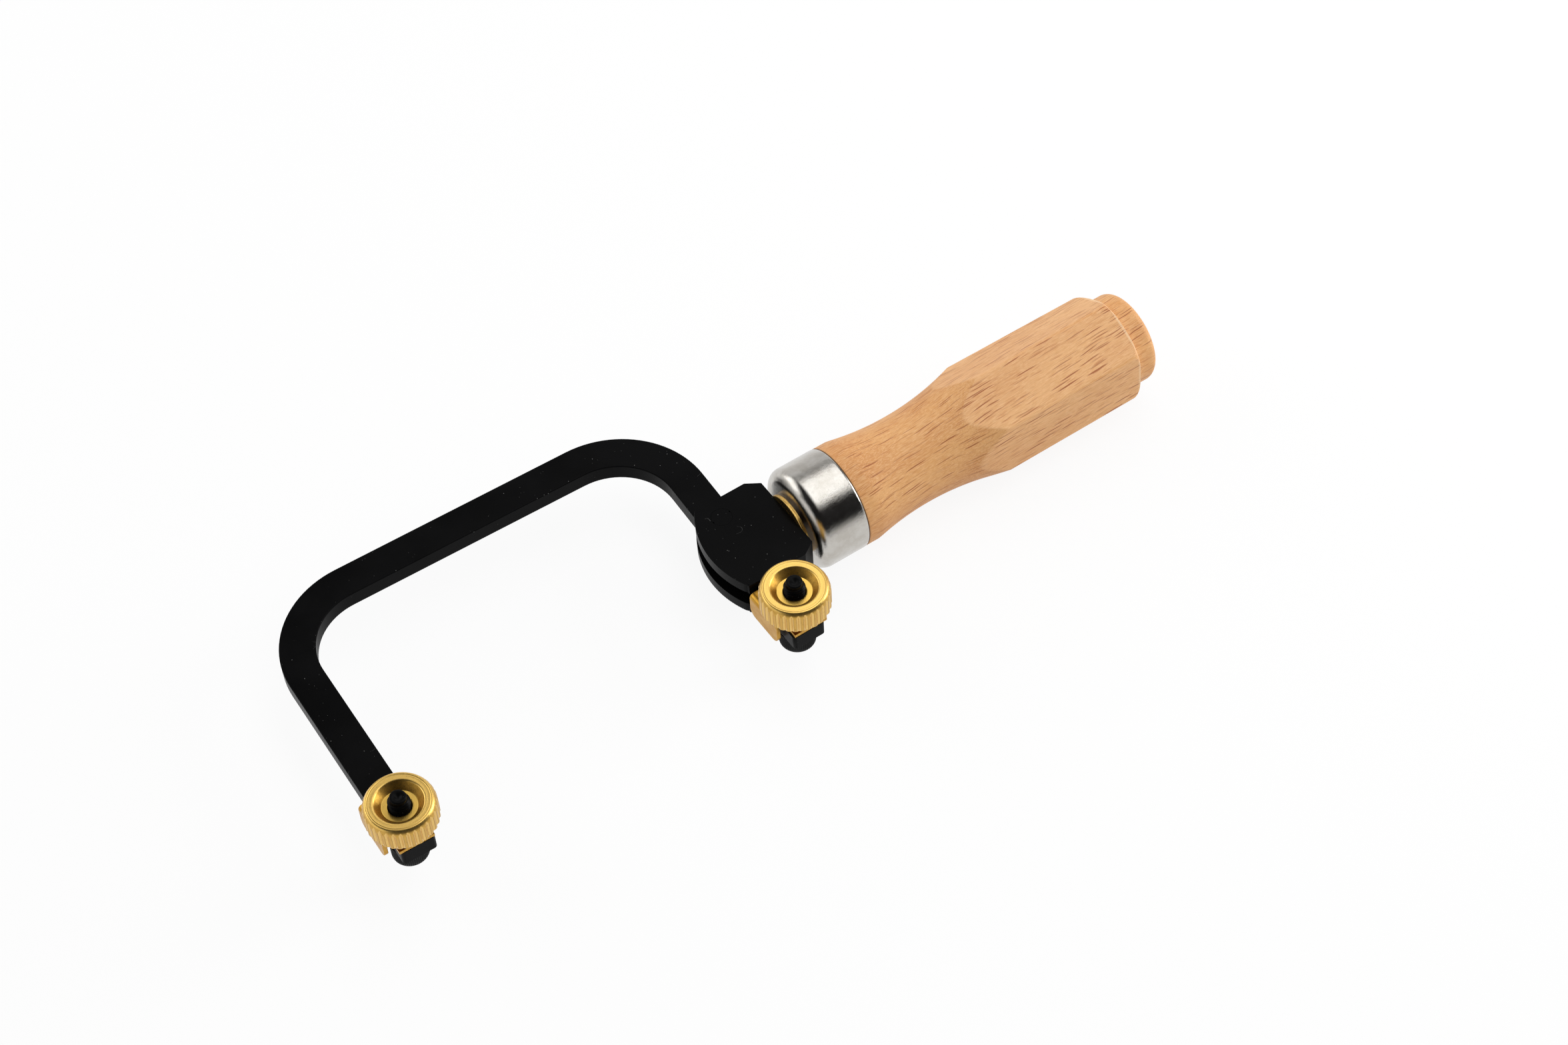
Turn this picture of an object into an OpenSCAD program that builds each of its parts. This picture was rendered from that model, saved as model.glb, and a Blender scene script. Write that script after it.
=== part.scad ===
// Jeweller's piercing saw with a swinging bow. A flat steel bow pivots in a slotted head,
// and a turn of the wooden handle drives a push pin against the bow's tail to stretch the blade.
// X runs along the handle towards its butt, Y towards the spine of the bow, and Z is square
// to the bow. The blade is held under the two jaws, across from the spine.

/* [Bow] */
// Width of the flat bar of the bow, in the plane of the bow
bar_w = 10; // [9:0.5:10.5]
// Thickness of the flat bar
bar_t = 5; // [4:0.5:6]
// Radius that rounds the long edges of the bar
bar_edge_r = 0.3; // [0.2:0.1:0.9]
// Radius that rounds the corners at the ends of the bar
bar_corner_r = 1; // [0.5:0.1:2]
// Distance along the handle's axis between the two clamp screws, with the bow square
clamp_span = 118.2; // [100:0.1:150]
// Distance from the front clamp screw to the outer face of the spine
bow_depth = 84; // [77:0.1:130]
// Distance by which the middle of the front arm lies behind the clamp screw
screw_off = 0.4; // [0:0.1:0.8]
// Height of the rear clamp screw above the front one, with the bow square
rear_rise = 0.7; // [0:0.1:1.5]
// Radius of both bends, at the middle of the bar
bend_r = 22.8; // [14:0.1:28]
// Length of bar past the centre of each clamp screw
bar_end = 6.4; // [5.5:0.1:8]
// Swing of the bow about its pivot as photographed, front clamp towards the spine
bow_swing = 1.7; // [0:0.1:2.5]

/* [Head] */
// Thickness of the head, across both cheeks
head_t = 12; // [11.5:0.5:16]
// Height of the head, along its flat back face
head_h = 30; // [29:0.5:32]
// Height of the middle of the head above the handle's axis
head_rise = 0.4; // [0:0.1:1]
// Length from the clamp screw to the flat back face of the head
head_back = 16; // [15.5:0.5:20]
// Length from the clamp screw to the tip of the round nose
nose_len = 9.7; // [8:0.1:11]
// Radius of the round nose of the cheeks
nose_r = 28; // [26:0.5:32]
// Drop of the nose's centre below the handle's axis
nose_drop = 1.2; // [0:0.1:2]
// Radius that rounds the nose into the lower edge of the cheeks
nose_corner_r = 3; // [1:0.5:4]
// Length of the chamfers on the two back corners of the head
back_chamfer_x = 4; // [1:0.5:5]
// Height of the chamfers on the two back corners of the head
back_chamfer_y = 2.6; // [1:0.1:4]
// Height of the handle's axis above the rear clamp screw
axis_rise = 27.5; // [27:0.1:32]
// Height of the pivot above the handle's axis
lever = 9.3; // [8.8:0.1:9.6]
// Distance by which the pivot sits behind the rear clamp screw
pivot_back = 0.6; // [0:0.1:1]
// Diameter of the pivot pin
pivot_d = 6; // [4:0.5:6.5]
// Length of the bow's tail below the pivot
tail_len = 14; // [13:0.5:14.5]
// Height of solid head left below the slot, where the rear clamp's arm joins it
slot_floor = 8; // [6:0.5:8]

/* [Clamps] */
// Thread diameter of the clamp screws
screw_d = 6; // [5:0.5:6]
// Length of the clamp screws under the head
screw_len = 20; // [19:0.5:24]
// Diameter of the cylindrical heads of the clamp screws
screw_head_d = 10.2; // [8.5:0.1:10.5]
// Height of the cylindrical heads of the clamp screws
screw_head_h = 6; // [5:0.5:7]
// Chamfer at the free edge of the screw heads
screw_head_edge = 0.5; // [0.2:0.1:0.8]
// Width across the flats of the hexagon socket
socket_af = 5; // [4:0.5:5]
// Depth of the hexagon socket
socket_deep = 3; // [2:0.25:3.5]
// Diameter of the plain tip of the clamp screws
tip_d = 4.6; // [3.8:0.1:4.8]
// Length of the plain tip of the clamp screws
tip_len = 1.3; // [0.8:0.1:2]
// Chamfer at the end of the plain tip
tip_edge = 0.4; // [0.1:0.1:0.6]
// Diameter of the lathe centre in the tip
centre_d = 2; // [1:0.1:2.4]
// Thickness of the sheet brass of the jaws
jaw_t = 1.2; // [0.8:0.1:1.6]
// Width of the jaw's flat plate, flush with the bar on the side of the wing
jaw_w = 10.3; // [9.5:0.1:10.8]
// Gap between the jaws and the lower edge of the head
jaw_clear = 0.8; // [0.5:0.1:1.5]
// Length of the jaw past the clamp screw, where it presses on the blade
jaw_nose = 6.3; // [5.5:0.1:8]
// Distance from the clamp screw to the near end of the jaw's folded wing
wing_start = 1; // [0:0.1:2]
// Depth of the folded wing below the top face of the bar
wing_deep = 7; // [5:0.1:8]
// Gap between the folded wing and the side of the bar
wing_gap = 1.2; // [0.8:0.1:1.6]
// Radius of the two lower corners of the wing
wing_corner_r = 2.5; // [1:0.5:3]
// Outer radius of the fold between plate and wing
fold_r = 1.7; // [1.6:0.1:2.2]
// Diameter of the hole that leaves the jaw loose on its screw
jaw_hole_d = 7.4; // [6.8:0.1:8]
// Side play taken up by the rear jaw as photographed
rear_jaw_play = 0.4; // [0:0.1:0.4]

/* [Thumb nuts] */
// Diameter over the crests of the knurl
nut_d = 19.5; // [18.5:0.5:22]
// Height of the thumb nut
nut_h = 11.5; // [10:0.5:12]
// Height of the knurled flange
flange_h = 7.7; // [6:0.1:9]
// Diameter of the plain hub under the flange
hub_d = 12.5; // [10:0.5:14]
// Number of teeth in the straight knurl
teeth = 32; // [24:4:40]
// Depth of the knurl's grooves
groove = 0.75; // [0.4:0.05:0.8]
// Share of each tooth that is crest
crest_share = 0.34; // [0.3:0.02:0.5]
// Diameter of the flat ring on top of the nut
ring_d = 17.4; // [16:0.1:17.4]
// Height of the chamfer between the flat ring and the knurl
shoulder_h = 1.1; // [0.6:0.1:1.4]
// Height of the chamfer under the flange
foot_h = 0.6; // [0.3:0.1:1]
// Diameter of the recess at the top face
recess_d = 13.1; // [12:0.1:14]
// Diameter of the recess at its floor
recess_floor_d = 9.8; // [8:0.1:10.5]
// Depth of the recess
recess_deep = 2.2; // [1:0.1:3]
// Chamfer where the bore enters the recess
bore_edge = 0.2; // [0.1:0.1:0.5]

/* [Handle] */
// Diameter of the ferrule
ferrule_d = 30.6; // [29:0.1:31]
// Length of the ferrule
ferrule_len = 14.8; // [12:0.1:18]
// Radius of the ferrule's front edge
ferrule_r = 3.5; // [2:0.1:4.5]
// Wall of the ferrule
ferrule_t = 1; // [0.6:0.1:1.4]
// Diameter of the hole in the front of the ferrule
ferrule_hole_d = 7; // [7:0.1:8]
// Height by which the wood stands below the ferrule at its rim
wood_step = 0.1; // [0:0.05:0.4]
// Length of the wooden grip from the ferrule to its shoulder
wood_len = 93.9; // [85:0.1:115]
// Width across the flats of the hexagonal grip
grip_af = 29.5; // [28.5:0.1:31]
// Diameter over the worn corners of the grip, at the shoulder
corner_d = 33.4; // [32.5:0.1:34]
// Diameter of the waist behind the ferrule
waist_d = 26.6; // [25:0.1:27.5]
// Distance from the ferrule's rim to the waist
waist_x = 22.9; // [20:0.1:26]
// Radius of the hollow that forms the waist
hollow_r = 88; // [75:1:100]
// Turn of the grip as photographed, away from a corner on top
grip_turn = -3.6; // [-15:0.1:15]
// Diameter of the round button at the butt
button_d = 27.2; // [24:0.1:28]
// Length of the round button
button_len = 7.4; // [5:0.1:12]
// Radius of the edge of the grip's shoulder
shoulder_r = 2.2; // [1:0.1:3]
// Radius of the edge of the button
button_r = 2.5; // [1:0.1:4]

/* [Tension screw] */
// Diameter of the threaded spindle
spindle_d = 6; // [5:0.5:6.5]
// Length of the spindle behind the ferrule's front face
spindle_in = 62; // [50:1:74]
// Chamfer at both ends of the spindle
spindle_edge = 0.6; // [0.3:0.1:1]
// Depth of the hole in the wood past the spindle's end
hole_past = 3; // [1:0.5:6]
// Diameter of the bush's flange between the head and the ferrule
flange_d = 18.6; // [14:0.2:20]
// Thickness of the bush's flange
flange_t = 1.1; // [0.8:0.1:1.6]
// Diameter of the bush's shank in the head
bush_d = 9; // [8.5:0.1:9.5]
// Length of the bush's shank
bush_len = 6; // [5:0.5:6.5]
// Diameter of the push pin between the spindle and the tail
push_d = 4.4; // [3:0.1:4.6]
// Height of the push pin's domed end
push_dome = 0.5; // [0.3:0.1:0.8]
// Gap between the bush's flange and the ferrule as photographed
handle_gap = 0.7; // [0.6:0.1:1.5]
// Width across the flats of the anchor nut inside the handle
anchor_af = 10; // [9:0.5:13]
// Height of the anchor nut
anchor_h = 5; // [4:0.5:8]

/* [Fits] */
// Running clearance on the radius of pins and screws
run_gap = 0.05; // [0.02:0.01:0.08]
// Clearance on each side of the bow in the slot of the head
slot_gap = 0.1; // [0.05:0.05:0.25]
// Room in front of the spindle for its travel
feed_room = 1; // [0.8:0.1:1.5]
// Clearance behind the tail for the bow's full swing
swing_gap = 1.4; // [1.2:0.1:1.6]
// Gap between the push pin and the tail
push_gap = 0.1; // [0.05:0.05:0.15]

/* [Hidden] */
$fn = 96;
fine = 360;
past = 1;
hex_sides = 6;
black = [0.10, 0.10, 0.11];
brass = [0.83, 0.66, 0.30];
nickel = [0.78, 0.77, 0.75];
steel = [0.55, 0.56, 0.58];
beech = [0.82, 0.60, 0.38];

// Places along X, counted from the front clamp screw of a bow with no swing
pivot_x = clamp_span + pivot_back;
axis_y = rear_rise + axis_rise;
pivot_y = axis_y + lever;
head_x1 = clamp_span + head_back;
head_mid = axis_y + head_rise;
head_y0 = head_mid - head_h / 2;
nose_x = clamp_span - nose_len;
nose_cx = nose_x + nose_r;
nose_cy = axis_y - nose_drop;
bush_x = head_x1 - bush_len;
ferrule_x = head_x1 + flange_t + handle_gap;
wood_x = ferrule_x + ferrule_len;
shoulder_x = wood_x + wood_len;
butt_x = shoulder_x + button_len;
spindle_x = bush_x + feed_room;
spindle_end = ferrule_x + spindle_in;

// The slot, and the push pin that meets the tail where the swing has left it
slot_t = bar_t + 2 * slot_gap;
slot_x = pivot_x + bar_w / 2 + swing_gap;
slot_y = head_y0 + slot_floor;
push_x = pivot_x + bar_w / 2 / cos(bow_swing) - lever * tan(bow_swing) + push_gap;

// The bends of the bow, the top of the jaws and the sharp corners of the grip
bend_y = bow_depth - bar_w / 2 - bend_r;
jaw_top = bar_t / 2 + jaw_t;
jaw_back = head_y0 - rear_rise - jaw_clear;
wing_x = bar_w / 2 + wing_gap + jaw_t;
grip_corner = grip_af / 2 / cos(180 / hex_sides);

// The box of the whole saw puts the origin below its middle
swung_x = pivot_x - pivot_x * cos(bow_swing) - pivot_y * sin(bow_swing);
spine_y = pivot_y + (pivot_x - screw_off - bend_r) * sin(bow_swing)
        + (bend_y - pivot_y) * cos(bow_swing) + bend_r + bar_w / 2;
origin = [(swung_x - nut_d / 2 + butt_x) / 2, (spine_y + rear_rise - nut_d / 2) / 2,
          -grip_corner * cos(grip_turn)];

// Moves a piece from the clamp screw's coordinates to the origin of the part
module placed() {
    translate(-origin) children();
}

// Turns what belongs to the bow about the pivot, as photographed
module swung() {
    translate([pivot_x, pivot_y, 0]) rotate([0, 0, -bow_swing])
        translate([-pivot_x, -pivot_y, 0]) children();
}

// Moves a piece to the rear clamp screw
module at_rear(play = 0) {
    translate([clamp_span + play, rear_rise, 0]) children();
}

// Revolves a profile of radius and length about the handle's axis
module turned() {
    translate([0, axis_y, 0]) rotate([0, 90, 0]) rotate_extrude($fn = fine) children();
}

// A plain hole or rod along the handle's axis
module along(x, d, len) {
    translate([x, axis_y, 0]) rotate([0, 90, 0]) cylinder(d = d, h = len);
}

// A rectangle about the origin with round corners
module rounded(w, t, r) {
    square([w - 2 * r, t], center = true);
    square([w, t - 2 * r], center = true);
    for (sx = [-1, 1], sy = [-1, 1])
        translate([sx * (w / 2 - r), sy * (t / 2 - r)]) circle(r);
}

// Half of a long section from the origin, with a round corner at its far end
module rounded_end(r, len, edge) {
    square([r - edge, len]);
    square([r, len - edge]);
    translate([r - edge, len - edge]) circle(edge);
}

module hexagon(af) {
    polygon([for (i = [0:hex_sides - 1])
             [cos(i * 360 / hex_sides), sin(i * 360 / hex_sides)] * af / 2 / cos(180 / hex_sides)]);
}

// A straight length of the bar, from the origin towards the spine
module bar(len) {
    translate([0, len, 0]) rotate([90, 0, 0])
        linear_extrude(len) rounded(bar_w, bar_t, bar_edge_r);
}

// A length of the bar that ends with round corners, from the origin away from the spine
module bar_stub(len) {
    intersection() {
        translate([0, -len, 0]) bar(len);
        translate([0, -len / 2, -bar_t]) linear_extrude(2 * bar_t) union() {
            rounded(bar_w, len, bar_corner_r);
            translate([-bar_w / 2, 0]) square([bar_w, len / 2]);
        }
    }
}

// A quarter bend of the bar about the origin
module bend() {
    rotate_extrude(angle = 90, $fn = fine) translate([bend_r, 0])
        rounded(bar_w, bar_t, bar_edge_r);
}

module bow() {
    color(black) placed() swung() difference() {
        union() {
            translate([screw_off, 0, 0]) bar_stub(bar_end);
            translate([screw_off, 0, 0]) bar(bend_y);
            translate([screw_off + bend_r, bend_y, 0]) rotate([0, 0, 90]) bend();
            translate([screw_off + bend_r, bow_depth - bar_w / 2, 0]) rotate([0, 0, -90])
                bar(pivot_x - screw_off - 2 * bend_r);
            translate([pivot_x - bend_r, bend_y, 0]) bend();
            translate([pivot_x, pivot_y, 0]) bar(bend_y - pivot_y);
            translate([pivot_x, pivot_y, 0]) bar_stub(tail_len);
        }
        screw_hole();
        translate([pivot_x, pivot_y, -bar_t]) cylinder(d = pivot_d + 2 * run_gap, h = 2 * bar_t);
    }
}

// The hole through the bar for a clamp screw
module screw_hole() {
    translate([0, 0, -bar_t]) cylinder(d = screw_d + 2 * run_gap, h = 2 * bar_t);
}

// The outline of the two cheeks, with a round nose and chamfered back corners
module cheek() {
    difference() {
        intersection() {
            translate([nose_x, head_y0]) square([head_x1 - nose_x, head_h]);
            translate([nose_cx, nose_cy]) circle(nose_r, $fn = fine);
        }
        nose_corner();
        for (side = [-1, 1]) translate([head_x1, head_mid + side * head_h / 2])
            polygon([[-back_chamfer_x, 0], [0, -side * back_chamfer_y],
                     [past, -side * back_chamfer_y], [past, side * past],
                     [-back_chamfer_x, side * past]]);
    }
}

// What is cut away to round the nose into the lower edge of the cheeks
module nose_corner() {
    turn_r = nose_r - nose_corner_r;
    corner_y = head_y0 + nose_corner_r;
    corner_x = nose_cx - sqrt(pow(turn_r, 2) - pow(nose_cy - corner_y, 2));
    out_x = corner_x + (corner_x - nose_cx) / turn_r * 2 * nose_corner_r;
    out_y = corner_y + (corner_y - nose_cy) / turn_r * 2 * nose_corner_r;
    difference() {
        polygon([[corner_x, corner_y], [out_x, out_y], [corner_x, out_y]]);
        translate([corner_x, corner_y]) circle(nose_corner_r);
    }
}

// The head is one piece of steel, slotted for the bow, with the rear clamp's arm below
module head_block() {
    slot_edge = clamp_span - bar_w / 2 + bar_edge_r;
    color(black) placed() difference() {
        union() {
            difference() {
                translate([0, 0, -head_t / 2]) linear_extrude(head_t) cheek();
                translate([nose_x - past, head_y0 - past, -slot_t / 2])
                    cube([slot_edge - nose_x + past, head_h + 2 * past, slot_t]);
                translate([nose_x - past, slot_y, -slot_t / 2])
                    cube([slot_x - nose_x + past, head_h, slot_t]);
            }
            at_rear() bar(slot_y - rear_rise);
            at_rear() bar_stub(bar_end);
        }
        at_rear() screw_hole();
        translate([pivot_x, pivot_y, -head_t]) cylinder(d = pivot_d, h = 2 * head_t);
        along(slot_x - past, push_d + 2 * run_gap, bush_x - slot_x + 2 * past);
        along(bush_x, bush_d, bush_len + past);
    }
}

module pivot_pin() {
    color(black) placed() translate([pivot_x, pivot_y, -head_t / 2])
        cylinder(d = pivot_d, h = head_t);
}

module spindle_bush() {
    color(brass) placed() difference() {
        union() {
            along(bush_x, bush_d, bush_len);
            along(head_x1, flange_d, flange_t);
        }
        along(bush_x - past, spindle_d + 2 * run_gap, bush_len + flange_t + 2 * past);
    }
}

// The push pin slides in the head, with its domed end at the bow's tail
module push_pin() {
    dome_r = (pow(push_d / 2, 2) + pow(push_dome, 2)) / 2 / push_dome;
    color(steel) placed() turned() intersection() {
        translate([0, push_x]) square([push_d / 2, spindle_x - push_x]);
        translate([0, push_x + dome_r]) union() {
            circle(dome_r);
            square([push_d, spindle_x - push_x]);
        }
    }
}

module spindle() {
    r = spindle_d / 2;
    color(steel) placed() turned()
        polygon([[0, spindle_x], [r - spindle_edge, spindle_x], [r, spindle_x + spindle_edge],
                 [r, spindle_end - spindle_edge], [r - spindle_edge, spindle_end],
                 [0, spindle_end]]);
}

// The ferrule is a cup drawn over the front of the wood, with a hole for the spindle
module ferrule() {
    color(nickel) placed() turned() difference() {
        translate([0, wood_x]) mirror([0, 1]) rounded_end(ferrule_d / 2, ferrule_len, ferrule_r);
        inner_cup();
        translate([0, ferrule_x - past]) square([ferrule_hole_d / 2, ferrule_len]);
    }
}

// The inside of the ferrule, which the wood fills
module inner_cup() {
    translate([0, wood_x]) mirror([0, 1])
        rounded_end(ferrule_d / 2 - ferrule_t, ferrule_len - ferrule_t, ferrule_r - ferrule_t);
}

// The turned outline of the handle behind the ferrule
module grip_outline() {
    front_r = ferrule_d / 2 - wood_step;
    waist = wood_x + waist_x;
    difference() {
        union() {
            translate([0, wood_x]) square([front_r, waist_x]);
            polygon([[0, waist], [grip_corner + wood_step, waist],
                     [corner_d / 2, shoulder_x - shoulder_r], [0, shoulder_x - shoulder_r]]);
            translate([0, waist]) rounded_end(corner_d / 2, shoulder_x - waist, shoulder_r);
            translate([0, waist]) rounded_end(button_d / 2, butt_x - waist, button_r);
        }
        translate([waist_d / 2 + hollow_r, waist]) circle(hollow_r, $fn = fine);
    }
}

// The handle is turned round, and six flats are planed on the grip behind the waist
module handle() {
    flats_x = wood_x + waist_x;
    color(beech) placed() difference() {
        union() {
            turned() inner_cup();
            intersection() {
                turned() grip_outline();
                union() {
                    along(wood_x - past, 2 * ferrule_d, waist_x + past);
                    translate([flats_x, axis_y, 0]) rotate([grip_turn, 0, 0]) rotate([0, 90, 0])
                        linear_extrude(butt_x - flats_x) hexagon(grip_af);
                }
            }
        }
        along(ferrule_x, spindle_d, spindle_in + hole_past);
        translate([ferrule_x + ferrule_t, axis_y, 0]) rotate([0, 90, 0])
            translate([0, 0, -past]) linear_extrude(anchor_h + past) hexagon(anchor_af);
    }
}

module anchor_nut() {
    color(steel) placed() difference() {
        translate([ferrule_x + ferrule_t, axis_y, 0]) rotate([0, 90, 0])
            linear_extrude(anchor_h) hexagon(anchor_af);
        along(ferrule_x, spindle_d, anchor_h + 2 * ferrule_t);
    }
}

// A cap screw with a hexagon socket, a plain tip and a lathe centre
module cap_screw() {
    seat = -bar_t / 2;
    base = seat - screw_head_h;
    end = seat + screw_len;
    color(black) difference() {
        rotate_extrude()
            polygon([[0, base], [screw_head_d / 2 - screw_head_edge, base],
                     [screw_head_d / 2, base + screw_head_edge], [screw_head_d / 2, seat],
                     [screw_d / 2, seat], [screw_d / 2, end - tip_len],
                     [tip_d / 2, end - tip_len], [tip_d / 2, end - tip_edge],
                     [tip_d / 2 - tip_edge, end], [centre_d / 2, end], [0, end - centre_d / 2]]);
        translate([0, 0, base - past]) linear_extrude(socket_deep + past) hexagon(socket_af);
    }
}

// A loose jaw of folded sheet brass: a plate on the bar with a wing beside it
module jaw() {
    wing_z = bar_t / 2 - wing_deep;
    wing_y = jaw_back + wing_start;
    color(brass) difference() {
        union() {
            translate([-bar_w / 2, -jaw_nose, bar_t / 2])
                cube([jaw_w, jaw_nose + jaw_back, jaw_t]);
            intersection() {
                translate([0, jaw_back, 0]) rotate([90, 0, 0])
                    linear_extrude(wing_y) fold_section(wing_z);
                translate([-wing_x - past, jaw_back - wing_y / 2, jaw_top]) rotate([0, 90, 0])
                    linear_extrude(wing_x + past) wing_outline(wing_y, jaw_top - wing_z);
            }
        }
        translate([0, 0, -bar_t]) cylinder(d = jaw_hole_d, h = 3 * bar_t);
    }
}

// The fold seen along the bar, with a true inner and outer bend radius
module fold_section(wing_z) {
    translate([-wing_x + fold_r, bar_t / 2]) square([wing_x - fold_r, jaw_t]);
    translate([-wing_x, wing_z]) square([jaw_t, jaw_top - fold_r - wing_z]);
    translate([-wing_x + fold_r, jaw_top - fold_r]) intersection() {
        translate([-fold_r, 0]) square(fold_r);
        difference() {
            circle(fold_r);
            circle(fold_r - jaw_t);
        }
    }
}

// The side view of the wing, hung from the origin with two round lower corners
module wing_outline(len, deep) {
    translate([deep / 2, 0]) rounded(deep, len, wing_corner_r);
    translate([0, -len / 2]) square([deep / 2, len]);
}

// The crests and grooves of the straight knurl, a little past the turned outline
module knurl() {
    step = 360 / teeth;
    half = crest_share * step / 2;
    crest_r = nut_d / 2 / cos(half);
    root_r = nut_d / 2 - groove;
    polygon([for (i = [0:teeth - 1], k = [0:2])
             (k < 2 ? crest_r : root_r)
             * [cos(i * step + [-half, half, step / 2][k]), sin(i * step + [-half, half, step / 2][k])]]);
}

// A thumb nut: plain hub, knurled flange with chamfered faces, and a tapered recess on top
module thumb_nut() {
    base = jaw_top + nut_h - flange_h;
    top = jaw_top + nut_h;
    taper = (recess_d - recess_floor_d) / recess_deep;
    bore_r = screw_d / 2 + run_gap;
    color(brass) difference() {
        union() {
            translate([0, 0, jaw_top]) cylinder(d = hub_d, h = nut_h - flange_h / 2);
            intersection() {
                translate([0, 0, base]) linear_extrude(flange_h) knurl();
                rotate_extrude()
                    polygon([[0, base], [ring_d / 2, base], [nut_d / 2, base + foot_h],
                             [nut_d / 2, top - shoulder_h], [ring_d / 2, top], [0, top]]);
            }
        }
        translate([0, 0, jaw_top - past]) cylinder(r = bore_r, h = nut_h + past);
        translate([0, 0, top - recess_deep])
            cylinder(d1 = recess_floor_d, d2 = recess_d + taper * past, h = recess_deep + past);
        translate([0, 0, top - recess_deep - bore_edge])
            cylinder(r1 = bore_r, r2 = bore_r + 2 * bore_edge, h = 2 * bore_edge);
    }
}

module front_cap_screw() {
    placed() swung() cap_screw();
}

module front_jaw() {
    placed() swung() jaw();
}

module front_thumb_nut() {
    placed() swung() thumb_nut();
}

module rear_cap_screw() {
    placed() at_rear() cap_screw();
}

module rear_jaw() {
    placed() at_rear(rear_jaw_play) jaw();
}

module rear_thumb_nut() {
    placed() at_rear() thumb_nut();
}

bow();
head_block();
pivot_pin();
spindle_bush();
push_pin();
spindle();
ferrule();
handle();
anchor_nut();
front_cap_screw();
front_jaw();
front_thumb_nut();
rear_cap_screw();
rear_jaw();
rear_thumb_nut();
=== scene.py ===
import math

import bmesh
import bpy
from mathutils import Matrix, Vector

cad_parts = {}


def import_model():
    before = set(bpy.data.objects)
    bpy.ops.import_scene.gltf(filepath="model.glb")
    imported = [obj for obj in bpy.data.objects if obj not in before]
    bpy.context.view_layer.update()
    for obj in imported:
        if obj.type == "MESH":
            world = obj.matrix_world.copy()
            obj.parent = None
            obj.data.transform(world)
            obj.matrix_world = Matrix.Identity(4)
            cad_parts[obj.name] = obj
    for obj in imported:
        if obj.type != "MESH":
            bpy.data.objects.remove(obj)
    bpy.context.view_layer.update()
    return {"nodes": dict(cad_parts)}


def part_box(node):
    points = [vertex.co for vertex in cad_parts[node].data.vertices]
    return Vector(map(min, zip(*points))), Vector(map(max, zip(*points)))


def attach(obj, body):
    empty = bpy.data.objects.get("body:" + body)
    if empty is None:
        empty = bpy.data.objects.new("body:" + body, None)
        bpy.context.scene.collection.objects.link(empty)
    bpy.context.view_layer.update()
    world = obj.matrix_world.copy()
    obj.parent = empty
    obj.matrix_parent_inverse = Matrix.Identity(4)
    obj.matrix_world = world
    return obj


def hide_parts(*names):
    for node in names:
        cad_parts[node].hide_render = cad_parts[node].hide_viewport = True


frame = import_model()
MM = 0.001


def middle(node):
    """Centre of a CAD node's box."""
    lo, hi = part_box(node)
    return (lo + hi) / 2


# Places in metres, read from the CAD nodes.
FRONT = middle("front_cap_screw")
REAR = middle("rear_cap_screw")
PIVOT = middle("pivot_pin")
AXIS = middle("spindle")
FERRULE_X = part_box("ferrule")[0].x
WOOD_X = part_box("ferrule")[1].x
HEAD_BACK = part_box("head_block")[1].x
PLANE = PIVOT.z

# Sizes in mm that pieces and materials share.
BAR_HALF, JAW_T = 2.5, 1.2
THREAD_BORE = 3.06
FERRULE_LEN, FERRULE_R, FERRULE_EDGE, FERRULE_WALL = 14.8, 15.3, 3.5, 1.0
GRIP_LEN, GRIP_FLATS = 93.9, 29.5
KNURL_TEETH, KNURL_CREST, KNURL_R, KNURL_DEEP = 32, 0.34, 9.75, 0.42
NUT_TOP, NUT_RING_R, RECESS_R, RECESS_FLOOR, RECESS_FLOOR_R = 11.5, 8.7, 6.55, 9.3, 4.9

JAW_TOP = PLANE + (BAR_HALF + JAW_T) * MM
TURN = 2 * math.pi
# One corner of the grip's hexagon, with the handle turned as in the photograph.
GRIP_CORNER = math.radians(90 - 3.6)


# Mesh helpers.
def finish_mesh(name, bm, at=(0, 0, 0), sharp=32):
    """Puts a bmesh into the scene, smooth but for edges sharper than an angle in degrees."""
    bmesh.ops.recalc_face_normals(bm, faces=bm.faces)
    mesh = bpy.data.meshes.new(name)
    bm.to_mesh(mesh)
    bm.free()
    mesh.shade_smooth()
    mesh.set_sharp_from_angle(angle=math.radians(sharp))
    obj = bpy.data.objects.new(name, mesh)
    obj.location = at
    bpy.context.scene.collection.objects.link(obj)
    return obj


def place_z(r, a, h):
    """A point of a form turned about Z."""
    return Vector((r * math.cos(a), r * math.sin(a), h)) * MM


def place_x(r, a, h):
    """A point of a form turned about X."""
    return Vector((h, r * math.cos(a), r * math.sin(a))) * MM


def lathe(name, rows, angles, place, at, closed=False, sharp=32):
    """A turned form. Rows are (height, radius) in mm, and either may be a function of the angle."""
    def value(number, a):
        return number(a) if callable(number) else number

    bm = bmesh.new()
    rings = []
    for h, r in rows:
        if r == 0:
            rings.append([bm.verts.new(place(0, 0, h))])
        else:
            rings.append([bm.verts.new(place(value(r, a), a, value(h, a))) for a in angles])
    pairs = list(zip(rings, rings[1:]))
    if closed:
        pairs.append((rings[-1], rings[0]))
    n = len(angles)
    for low, high in pairs:
        for i in range(n):
            k = (i + 1) % n
            if len(low) == 1:
                bm.faces.new((low[0], high[k], high[i]))
            elif len(high) == 1:
                bm.faces.new((low[i], low[k], high[0]))
            else:
                bm.faces.new((low[i], low[k], high[k], high[i]))
    return finish_mesh(name, bm, at, sharp)


def even(n, start=0.0):
    """Angles all round in n equal steps."""
    return [start + i * TURN / n for i in range(n)]


def arc(h, r, size, a0, a1, steps=5):
    """Points of a rounded edge about (h, r), from angle a0 to a1 in degrees."""
    out = []
    for i in range(steps + 1):
        a = math.radians(a0 + (a1 - a0) * i / steps)
        out.append((h + size * math.cos(a), r + size * math.sin(a)))
    return out


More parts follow.
